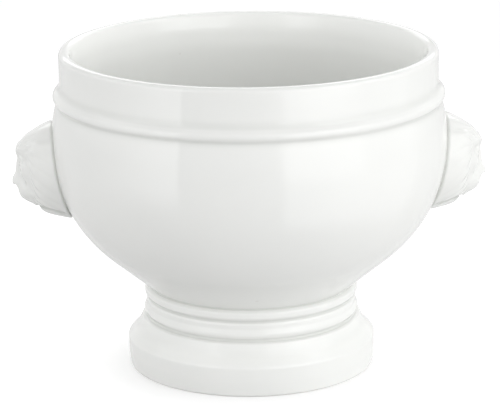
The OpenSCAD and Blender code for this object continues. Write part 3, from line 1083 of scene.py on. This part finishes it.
@dataclass(frozen=True)
class Mane:
    """Mane of the lion: a ring of locks round the face and a fainter ring behind it on the sides.

    A lock is |sin| of the spoke's angle to a power, bent sideways along its length. Both rings thin out at
    the chin and the crown.

    Attributes:
        locks: Locks in each ring.
        lock_power: Power that rounds a lock.
        edge: Share of the way out at which the front ring starts.
        edge_swing: How much farther out it starts at the sides than on average.
        edge_width: Share of the way over which it fades in.
        front_depth: Shares of the block's depth between which it fades in from the wall.
        front_h: Height of its locks.
        front_cut: How deep the lines between them lie.
        bend: Sideways bend of its locks in radians.
        bend_reach: Share of the way over which they bend.
        bend_power: Power that carries the bend from one half of the face to the other.
        flank_depth: Shares of the depth between which the side ring is full and fades out to the front.
        flank_fade: Shares of the depth between which it fades in from the wall.
        flank_h: Height of its locks.
        flank_cut: How deep the lines between them lie.
        sway: Sideways sway of its locks in radians.
        sway_turn: Half turns of the sway over the block's depth.
        chin: How far the mane thins out at the chin.
        crown: How far it thins out at the crown.
    """

    locks: int = 22
    lock_power: float = 0.6
    edge: float = 0.66
    edge_swing: float = 0.04
    edge_width: float = 0.1
    front_depth: tuple[float, float] = (0.5, 0.88)
    front_h: float = 0.5
    front_cut: float = 0.22
    bend: float = 0.3
    bend_reach: float = 0.34
    bend_power: float = 0.3
    flank_depth: tuple[float, float] = (0.61, 0.86)
    flank_fade: tuple[float, float] = (0.03, 0.25)
    flank_h: float = 0.12
    flank_cut: float = 0.08
    sway: float = 0.16
    sway_turn: float = 1.2
    chin: Mound = Mound(0.0, -13.0, 7.0, 3.2, 0.75)
    crown: Mound = Mound(0.0, 14.0, 9.0, 4.0, 0.5)

    def relief(self, a: np.ndarray, t: np.ndarray, share: np.ndarray, spoke: np.ndarray,
               depth: np.ndarray) -> np.ndarray:
        """Relief of the mane.

        Args:
            a: Distances from the face's middle line.
            t: Heights above the head's middle.
            share: Shares of the way out.
            spoke: Angles round the head.
            depth: Shares of the block's depth.

        Returns:
            Relief at each place.
        """
        edge = self.edge + self.edge_swing * np.cos(2.0 * spoke)
        side = signed_power(np.cos(spoke), self.bend_power)
        bend = self.bend * np.sin(math.pi * np.clip((share - edge) / self.bend_reach, 0.0, 1.0)) * side
        sway = self.sway * np.cos(self.sway_turn * math.pi * depth) * side
        front = ease(share, edge, edge + self.edge_width) * ease(depth, *self.front_depth)
        flank = (1.0 - ease(depth, *self.flank_depth)) * ease(depth, *self.flank_fade)
        front_lock = np.abs(np.sin(0.5 * self.locks * (spoke + bend))) ** self.lock_power
        flank_lock = np.abs(np.cos(0.5 * self.locks * (spoke + sway))) ** self.lock_power
        thin = 1.0 - self.chin.at(a, t) - self.crown.at(a, t)
        front_relief = front * (self.front_h * front_lock - self.front_cut)
        return thin * (front_relief + flank * (self.flank_h * flank_lock - self.flank_cut))


@dataclass
class LionHead:
    """A moulded lion-head lug, stuck on the belly with slip.

    Attributes:
        belly: Outside of the belly.
        side: Side of the bowl.
        lines: Long forms of the face.
        mouth: Groove of the mouth.
        mane: The mane.
        half_w: Half of the head's width at the wall.
        top: Height of the crown at the wall.
        bottom: Height of the chin at the wall.
        outline_power: Power of the ellipse that the outline follows.
        swell: Share by which the outline swells towards the crown.
        draw_in: Share by which it draws in at crown and chin.
        face_out: How far the plain block stands out from the wall.
        depth_power: Power of the block's depth.
        side_fall: Power of the depth's fall at the sides.
        crown_fall: How much less that power is at the crown.
        chin_fall: How much more it is at the chin.
        tuck: Share by which the outline is tucked in at the wall.
        tuck_swing: How much less that is at the crown, and more at the chin.
        tuck_reach: Distance from the wall over which the tuck fades out.
        sunk: How far the back sits in the slip.
        sunk_reach: Share of the depth over which that fades out.
        carve_reach: Share of the depth over which the carving fades in from the wall.
        pool_and_shade_full: Depth below the neighbours that counts as a full glaze pool and full painted
            shade.
        pool_and_shade_passes: Times that each point takes the mean with its neighbours to find it.
        mouth_pool_and_shade: Glaze pool and painted shade in the mouth.
        crease_pool_and_shade: Glaze pool and painted shade in the crease at the wall.
        crease_reach: Distance from the wall over which it fades out.
        rings: Rings from the middle of the face to the wall.
        ring_power: How strongly the rings crowd towards the wall.
        back_rings: Rings over the back.
        spokes: Points on each ring.
    """

    belly: BellyCurve
    side: Side
    lines: FaceLines = FaceLines()
    mouth: Mouth = Mouth()
    mane: Mane = Mane()
    half_w: float = 13.6
    top: float = 79.2
    bottom: float = 48.3
    outline_power: float = 2.3
    swell: float = 0.07
    draw_in: float = 0.03
    face_out: float = 10.6
    depth_power: float = 0.8
    side_fall: float = 5.0
    crown_fall: float = 2.35
    chin_fall: float = 0.5
    tuck: float = 0.05
    tuck_swing: float = 0.022
    tuck_reach: float = 0.5
    sunk: float = 0.25
    sunk_reach: float = 0.08
    carve_reach: float = 0.1
    pool_and_shade_full: float = 0.6
    pool_and_shade_passes: int = 6
    mouth_pool_and_shade: float = 1.6
    crease_pool_and_shade: float = 0.75
    crease_reach: float = 1.6
    rings: int = 150
    ring_power: float = 1.9
    back_rings: int = 8
    spokes: int = 264

    @property
    def middle_z(self) -> float:
        """Height of the head's middle."""
        return 0.5 * (self.top + self.bottom)

    @property
    def half_h(self) -> float:
        """Half of the head's height."""
        return 0.5 * (self.top - self.bottom)

    def wall_x(self, s: np.ndarray, t: np.ndarray) -> np.ndarray:
        """Distance of the wall from the axis plane: a circle of the wall's radius at each height.

        Args:
            s: Distances to the side of the head's middle.
            t: Heights above it.

        Returns:
            Distances.
        """
        return np.sqrt(self.belly.wall_r(t + self.middle_z) ** 2 - s ** 2)

    def block(self, share: np.ndarray, spoke: np.ndarray) -> tuple[np.ndarray, np.ndarray]:
        """Plain block of the head before carving.

        A point lies at a share of the way from the head's middle to its outline, an ellipse of a power over 2
        that swells towards the crown. Its depth is (1 - share^n)^m of the full depth, where n is high at the
        sides, higher at the chin and low at the crown, and m is the depth's power. Near the wall the outline
        is tucked in, which makes the crease.

        Args:
            share: Share of the way out.
            spoke: Angle round the head.

        Returns:
            Points as [ring, spoke, xyz], with the height above the head's middle, and the share of the depth.
        """
        across, up = np.cos(spoke), np.sin(spoke)
        fall = self.side_fall - self.crown_fall * np.maximum(up, 0.0) + self.chin_fall * np.maximum(-up, 0.0)
        depth = np.clip(1.0 - share ** fall, 0.0, 1.0) ** self.depth_power
        tucked = np.exp(-(depth * self.face_out / self.tuck_reach) ** 2)
        tuck = share * (1.0 - (self.tuck - self.tuck_swing * up) * tucked)
        swell = 1.0 + self.swell * up - self.draw_in * up ** 2
        s = tuck * self.half_w * signed_power(across, 2.0 / self.outline_power) * swell
        t = tuck * self.half_h * signed_power(up, 2.0 / self.outline_power)
        sunk = self.sunk * (1.0 - ease(depth, 0.0, self.sunk_reach))
        return np.stack([self.wall_x(s, t) + self.face_out * depth - sunk, s, t], axis=-1), depth

    def face(self, a: np.ndarray, t: np.ndarray, depth: np.ndarray) -> np.ndarray:
        """Relief of the face: the sum of the mounds, the long forms and the mouth.

        Args:
            a: Distances from the face's middle line.
            t: Heights above the head's middle.
            depth: Shares of the block's depth.

        Returns:
            Relief at each place.
        """
        mounds = sum(mound.at(a, t) for mound in FACE)
        return mounds + self.lines.relief(a, t, depth) + self.mouth.relief(a, t, depth)

    def build(self) -> bpy.types.Object:
        """Carves the head: each point of the block moves along the block's slope by the relief.

        Returns:
            The head.
        """
        out = np.linspace(0.0, 1.0, self.rings + 1)[1:]
        around = np.arange(self.spokes) * 2.0 * math.pi / self.spokes
        share, spoke = np.meshgrid(1.0 - (1.0 - out) ** self.ring_power, around, indexing="ij")
        block, depth = self.block(share, spoke)
        slope = np.cross(np.gradient(block, axis=0), np.roll(block, -1, 1) - np.roll(block, 1, 1))
        slope /= np.maximum(np.linalg.norm(slope, axis=-1, keepdims=True), TINY)
        a, t = np.abs(block[..., 1]), block[..., 2]
        relief = self.face(a, t, depth) + self.mane.relief(a, t, share, spoke, depth)
        relief *= ease(depth, 0.0, self.carve_reach)
        front = block + slope * relief[..., None]
        wall = np.array([float(self.belly.wall_r(np.array(self.middle_z))), 0.0, 0.0])
        along = np.array([1.0, 0.0, 0.0])
        nose = wall + self.face_out * along
        nose += slope[0].mean(axis=0) * float(self.face(np.zeros(1), np.zeros(1), np.ones(1))[0])
        inward = np.linspace(1.0, 0.0, self.back_rings + 1)[1:-1, None]
        back_s, back_t = inward * front[-1, :, 1], inward * front[-1, :, 2]
        back = np.stack([self.wall_x(back_s, back_t) - self.sunk, back_s, back_t], axis=-1)
        pool = self.pool(relief, depth, self.mouth.share(a, t, depth))
        pool = np.concatenate([pool, np.zeros(back_s.shape)])
        lift = np.array([0.0, 0.0, self.middle_z])
        turn = np.array(Matrix.Rotation(self.side.value, 3, "Z")).T
        name = "lion_head_" + self.side.name.lower() + "_glazed"
        rings = (np.concatenate([front, back]) + lift) @ turn
        last = (wall - self.sunk * along + lift) @ turn
        return rings_to_mesh(name, rings, (nose + lift) @ turn, last, pool)

    def pool(self, relief: np.ndarray, depth: np.ndarray, mouth: np.ndarray) -> np.ndarray:
        """Glaze pool and painted shade of the carving: how far the relief lies below its own mean over the
        neighbouring points.

        Args:
            relief: Relief as [ring, spoke].
            depth: Shares of the block's depth.
            mouth: Shares of the mouth's groove.

        Returns:
            Pool from -1 on crests to 1 in hollows, with painted shade in the mouth and in the crease at the
            wall.
        """
        mean = relief
        for _ in range(self.pool_and_shade_passes):
            mean = (np.roll(mean, 2, 1) + mean + np.roll(mean, -2, 1)) / 3.0
            ends = np.concatenate([mean[:1], mean[:1], mean, mean[-1:], mean[-1:]])
            mean = (ends[:-4] + mean + ends[4:]) / 3.0
        # Painted shade: the crease at the wall and the mouth get a full pool, which the tint darkens.
        crease = self.crease_pool_and_shade * (1.0 - ease(depth * self.face_out, 0.0, self.crease_reach))
        hollow = (mean - relief) / self.pool_and_shade_full
        return np.clip(hollow + self.mouth_pool_and_shade * np.sqrt(mouth) + crease, -1.0, 1.0)

    def dress(self, piece: bpy.types.Object) -> None:
        """Glazes the head and puts it in the place of its casting."""
        piece.data.materials.append(CAST_GLAZE.material())
        settle(piece, "lion_head_" + self.side.name.lower())


def settle(piece: bpy.types.Object, node: str) -> None:
    """Puts a finished piece in the place of a casting.

    Args:
        piece: The piece.
        node: Name of the casting that it stands for.
    """
    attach(piece, BODY)
    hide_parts(node)
    points, faces = len(piece.data.vertices), len(piece.data.polygons)
    LOG.info("%s stands for %s: %d points, %d faces", piece.name, node, points, faces)


@dataclass(frozen=True)
class SoftCard:
    """A soft rectangular lamp that stands round the crock and faces it.

    Attributes:
        name: Name of the lamp.
        azimuth: Bearing of its middle in degrees, 0 towards the camera and positive to the right.
        spread: Half of the angle that it covers, in degrees.
        distance: Distance from the axis in metres.
        low: Height of its lower edge in metres.
        high: Height of its upper edge in metres.
        radiance: Brightness of its face, where 1 is white.
    """

    name: str
    azimuth: float
    spread: float
    distance: float
    low: float
    high: float
    radiance: float

    def build(self, bearing: float) -> bpy.types.Object:
        """Makes the lamp.

        A lamp of power P and area A has the radiance P / (pi A).

        Args:
            bearing: Azimuth of the camera in radians.

        Returns:
            The lamp.
        """
        angle = bearing + math.radians(self.azimuth)
        out = Vector((math.sin(angle), -math.cos(angle), 0.0))
        width = 2.0 * self.distance * math.tan(math.radians(self.spread))
        height = self.high - self.low
        lamp = bpy.data.lights.new(self.name, "AREA")
        lamp.shape = "RECTANGLE"
        lamp.size, lamp.size_y = width, height
        lamp.energy = self.radiance * math.pi * width * height
        card = bpy.data.objects.new(self.name, lamp)
        place = out * self.distance + Vector((0.0, 0.0, 0.5 * (self.low + self.high)))
        card.matrix_world = Matrix.Translation(place) @ out.to_track_quat("Z", "Y").to_matrix().to_4x4()
        card.visible_camera = False
        bpy.context.scene.collection.objects.link(card)
        return card


CARDS = (
    SoftCard("right_low_card", 40.0, 24.0, 0.45, 0.0, 0.22, 0.9),
    SoftCard("right_high_card", 64.0, 24.0, 0.45, 0.22, 0.60, 1.0),
    SoftCard("right_back_card", 112.0, 24.0, 0.45, 0.22, 0.60, 0.3),
    SoftCard("inside_card", 118.0, 24.0, 0.05, 0.14, 0.19, 1.2),
    SoftCard("left_high_card", -88.0, 24.0, 0.45, 0.22, 0.60, 0.55),
    SoftCard("back_high_card", 180.0, 32.0, 0.45, 0.22, 0.60, 1.26),
)


@dataclass(frozen=True)
class GlowCard:
    """A curved card that only shows in the glaze: a clear sheet that glows, on a cylinder about the axis.

    Its glow is a smooth step that rises with the height, times a smooth step that falls from the edge next to
    the camera to the other edge.

    Attributes:
        name: Name of the card.
        near: Bearing of the edge next to the camera in degrees, 0 towards it and positive to the right.
        far: Bearing of the other edge.
        distance: Distance from the axis in metres.
        low: Height in metres at which the glow starts.
        full: Height at which it is full.
        top: Height of the upper edge.
        radiance: Full glow at the near edge, where 1 is white.
        far_share: Share of it that is left at the far edge.
        rows: Points along each edge.
    """

    name: str
    near: float
    far: float
    distance: float
    low: float
    full: float
    top: float
    radiance: float
    far_share: float
    rows: int = 33

    def build(self, bearing: float) -> bpy.types.Object:
        """Makes the card.

        Args:
            bearing: Azimuth of the camera in radians.

        Returns:
            The card.
        """
        steps = np.linspace(0.0, 1.0, self.rows)
        along, z = np.meshgrid(steps, self.low + (self.top - self.low) * steps, indexing="ij")
        angle = bearing + np.radians(self.near + (self.far - self.near) * along)
        points = np.stack([self.distance * np.sin(angle), -self.distance * np.cos(angle), z], axis=-1)
        glow = ease(z, self.low, self.full) * (1.0 - (1.0 - self.far_share) * ease(along, 0.0, 1.0))
        index = np.arange(z.size).reshape(z.shape)
        quads = np.stack([index[:-1, :-1], index[1:, :-1], index[1:, 1:], index[:-1, 1:]], axis=-1)
        mesh = bpy.data.meshes.new(self.name)
        mesh.from_pydata(points.reshape(-1, 3).tolist(), [], quads.reshape(-1, 4).tolist())
        values = glow.ravel().astype(np.float32)
        mesh.attributes.new(GLOW, "FLOAT", "POINT").data.foreach_set("value", values)
        mesh.materials.append(self.material())
        card = bpy.data.objects.new(self.name, mesh)
        card.visible_camera = card.visible_diffuse = card.visible_shadow = False
        bpy.context.scene.collection.objects.link(card)
        return card

    def material(self) -> bpy.types.Material:
        """Clear sheet that glows.

        Returns:
            The material.
        """
        material = bpy.data.materials.new(self.name)
        material.use_nodes = True
        sketch = NodeSketch(material.node_tree)
        share = sketch.node("Attribute", attribute_name=GLOW).outputs["Color"]
        glow = sketch.node("Emission", {"Color": share, "Strength": self.radiance})
        clear = sketch.node("BsdfTransparent")
        both = sketch.node("AddShader", {0: clear.outputs[0], 1: glow.outputs[0]})
        sketch.node("OutputMaterial", {"Surface": both.outputs[0]})
        return material


GLOWS = (
    GlowCard("left_glow_card", -30.5, -76.0, 0.12, 0.012, 0.06, 0.16, 1.5, 0.05),
    GlowCard("right_glow_card", 14.0, 80.0, 0.10, 0.001, 0.03, 0.16, 1.0, 0.4),
)


@dataclass
class Studio:
    """Plain white studio: a pale floor, soft cards and the camera.

    Attributes:
        azimuth: Bearing of the camera in degrees, positive to the right of the crock's front.
        elevation: Angle of the view down on the crock in degrees.
        roll: Turn of the picture in degrees, positive where the right side comes up.
        distance: Distance of the camera from the point it looks at, in millimetres.
        aim_z: Height of that point in millimetres.
        focal_px: Focal length in pixels of the picture.
        offset_px: Place of that point in the picture, from its middle, to the right and down.
        width_px: Width of the picture.
        sensor: Width of the camera's sensor in millimetres.
        clip: Nearest and farthest distance that the camera shows, in metres.
        horizon_light: Light from low all round, where 1 is white.
        horizon_rise: Sines of the angles above level between which it passes into the light from above.
        upper_light: Light from above it.
        upper_rise: Sine of the angle from which the light from above passes into the light from overhead.
        zenith_light: Light from overhead.
        floor_white: Colour of the floor.
        floor_lift: Light that the floor adds to itself in the picture.
        contact_shadow_lift: The same close to the foot, lower, which paints a darker contact shadow on the
            floor round the foot.
        lift_reach: Distances from the axis in metres between which the one passes into the other.
        mirror_lift: Light that the floor adds to itself in reflections.
        bounce: Light that the floor throws up on the right side of the crock.
        bounce_reach: Distance to the right at which that light is full, and distances from the axis between
            which it fades out, in metres.
        floor_r: Radius of the floor in metres.
        floor_rings: Rings of points of the floor.
        floor_spokes: Points on each of them.
        floor_first: Root of the first ring's share of the radius.
    """

    azimuth: float = -3.0
    elevation: float = 15.66
    roll: float = 0.62
    distance: float = 843.0
    aim_z: float = 45.5
    focal_px: float = 2669.0
    offset_px: tuple[float, float] = (0.3, 15.5)
    width_px: float = 500.0
    sensor: float = 36.0
    clip: tuple[float, float] = (0.01, 50.0)
    horizon_light: float = 2.12
    horizon_rise: tuple[float, float] = (0.20, 0.32)
    upper_light: float = 0.82
    upper_rise: float = 0.35
    zenith_light: float = 0.32
    floor_white: float = 0.6
    floor_lift: float = 0.6
    contact_shadow_lift: float = 0.45
    lift_reach: tuple[float, float] = (0.039, 0.056)
    mirror_lift: float = 0.35
    bounce: float = 0.2
    bounce_reach: tuple[float, float, float] = (0.03, 0.10, 0.16)
    floor_r: float = 4.0
    floor_rings: int = 12
    floor_spokes: int = 48
    floor_first: float = 0.1

    def camera(self) -> bpy.types.Object:
        """Sets the camera at the photograph's view.

        Returns:
            The camera.
        """
        bearing, rise = math.radians(self.azimuth), math.radians(self.elevation)
        level = math.cos(rise)
        back = Vector((math.sin(bearing) * level, -math.cos(bearing) * level, math.sin(rise)))
        data = bpy.data.cameras.new("view")
        data.sensor_width = self.sensor
        data.lens = self.focal_px * self.sensor / self.width_px
        data.shift_x = -self.offset_px[0] / self.width_px
        data.shift_y = self.offset_px[1] / self.width_px
        data.clip_start, data.clip_end = self.clip
        camera = bpy.data.objects.new("view", data)
        roll = Matrix.Rotation(-math.radians(self.roll), 4, "Z")
        turn = back.to_track_quat("Z", "Y").to_matrix().to_4x4() @ roll
        place = Vector((0.0, 0.0, self.aim_z * MM)) + back * self.distance * MM
        camera.matrix_world = Matrix.Translation(place) @ turn
        bpy.context.scene.collection.objects.link(camera)
        bpy.context.scene.camera = camera
        return camera

    def floor(self) -> bpy.types.Object:
        """Lays the floor: rings of radius R s^2 about the axis, so that they lie closer under the crock.

        Returns:
            The floor.
        """
        around = np.arange(self.floor_spokes) * 2.0 * math.pi / self.floor_spokes
        out = np.linspace(self.floor_first, 1.0, self.floor_rings)
        share, spoke = np.meshgrid(out, around, indexing="ij")
        radius = self.floor_r * share ** 2
        points = np.stack([radius * np.cos(spoke), radius * np.sin(spoke), np.zeros_like(radius)], axis=-1)
        index = np.arange(points[..., 0].size).reshape(share.shape)
        here, ahead = index[:-1], index[1:]
        quads = np.stack([here, ahead, np.roll(ahead, -1, 1), np.roll(here, -1, 1)], axis=-1).reshape(-1, 4)
        mesh = bpy.data.meshes.new("studio_floor")
        mesh.from_pydata(points.reshape(-1, 3).tolist(), [], quads.tolist() + [index[0].tolist()])
        mesh.materials.append(self.floor_material())
        floor = bpy.data.objects.new("studio_floor", mesh)
        bpy.context.scene.collection.objects.link(floor)
        return floor

    def floor_material(self) -> bpy.types.Material:
        """Matt pale floor that takes shadows and lifts itself to white in the picture, less so close to the
        foot, which paints a contact shadow there.

        Returns:
            The material.
        """
        material = bpy.data.materials.new("pale_floor")
        material.use_nodes = True
        sketch = NodeSketch(material.node_tree)
        path = sketch.node("LightPath").outputs
        matt = sketch.node("BsdfDiffuse", {"Color": (self.floor_white,) * 3 + (1.0,)})
        mirrored = sketch.math("MAXIMUM", path["Is Glossy Ray"], path["Is Transmission Ray"])
        place = sketch.node("TexCoord").outputs["Object"]
        right = sketch.node("SeparateXYZ", {0: place}).outputs["X"]
        reach = sketch.node("VectorMath", {0: place}, operation="LENGTH").outputs["Value"]
        rising = sketch.node("MapRange", {"Value": right, "From Max": self.bounce_reach[0]}).outputs[0]
        fading = sketch.node("MapRange", {"Value": reach, "From Min": self.bounce_reach[1],
                                          "From Max": self.bounce_reach[2], "To Min": self.bounce,
                                          "To Max": 0.0}).outputs[0]
        bounced = sketch.math("MULTIPLY", path["Is Diffuse Ray"], sketch.math("MULTIPLY", rising, fading))
        # Painted contact shadow: the floor is lifted less close to the foot.
        shown = sketch.node("MapRange", {"Value": reach, "From Min": self.lift_reach[0],
                                         "From Max": self.lift_reach[1], "To Min": self.contact_shadow_lift,
                                         "To Max": self.floor_lift}).outputs[0]
        lift = sketch.math("MAXIMUM", sketch.math("MULTIPLY", path["Is Camera Ray"], shown),
                           sketch.math("MULTIPLY", mirrored, self.mirror_lift))
        glow = sketch.node("Emission", {"Strength": sketch.math("ADD", lift, bounced)})
        both = sketch.node("AddShader", {0: matt.outputs[0], 1: glow.outputs[0]})
        sketch.node("OutputMaterial", {"Surface": both.outputs[0]})
        return material

    def world(self) -> None:
        """Lights the crock mostly from low all round, and shows white in the picture and in reflections."""
        world = bpy.data.worlds.new("white_studio")
        world.use_nodes = True
        sketch = NodeSketch(world.node_tree)
        path = sketch.node("LightPath").outputs
        mirrored = sketch.math("MAXIMUM", path["Is Glossy Ray"], path["Is Transmission Ray"])
        seen = sketch.math("MAXIMUM", path["Is Camera Ray"], mirrored)
        rise = sketch.node("SeparateXYZ", {0: sketch.node("TexCoord").outputs["Generated"]}).outputs["Z"]
        above = sketch.node("MapRange", {"Value": rise, "From Min": self.upper_rise, "From Max": 1.0,
                                         "To Min": self.upper_light, "To Max": self.zenith_light}).outputs[0]
        light = sketch.node("MapRange", {"Value": rise, "From Min": self.horizon_rise[0],
                                         "From Max": self.horizon_rise[1], "To Min": self.horizon_light,
                                         "To Max": above}).outputs[0]
        strength = sketch.node("MapRange", {"Value": seen, "To Min": light, "To Max": 1.0}).outputs[0]
        sky = sketch.node("Background", {"Color": (1.0, 1.0, 1.0, 1.0), "Strength": strength})
        sketch.node("OutputWorld", {"Surface": sky.outputs[0]})
        bpy.context.scene.world = world

    def build(self) -> None:
        """Sets up the floor, the light and the camera."""
        self.floor()
        self.world()
        for card in CARDS + GLOWS:
            card.build(math.radians(self.azimuth))
        self.camera()
        bpy.context.scene.view_settings.view_transform = "Standard"


def main() -> None:
    """Builds and dresses the bowl, the foot and both heads, then the studio."""
    logging.basicConfig(level=logging.INFO, format="%(message)s")
    belly = BellyCurve()
    bowl, foot = Bowl(belly), PedestalFoot(belly)
    line = SoftLine(bowl, foot)
    bowl.dress(bowl.build(line))
    foot.dress(foot.build(line))
    for side in Side:
        head = LionHead(belly, side)
        head.dress(head.build())
    Studio().build()


if __name__ == "__main__":
    main()
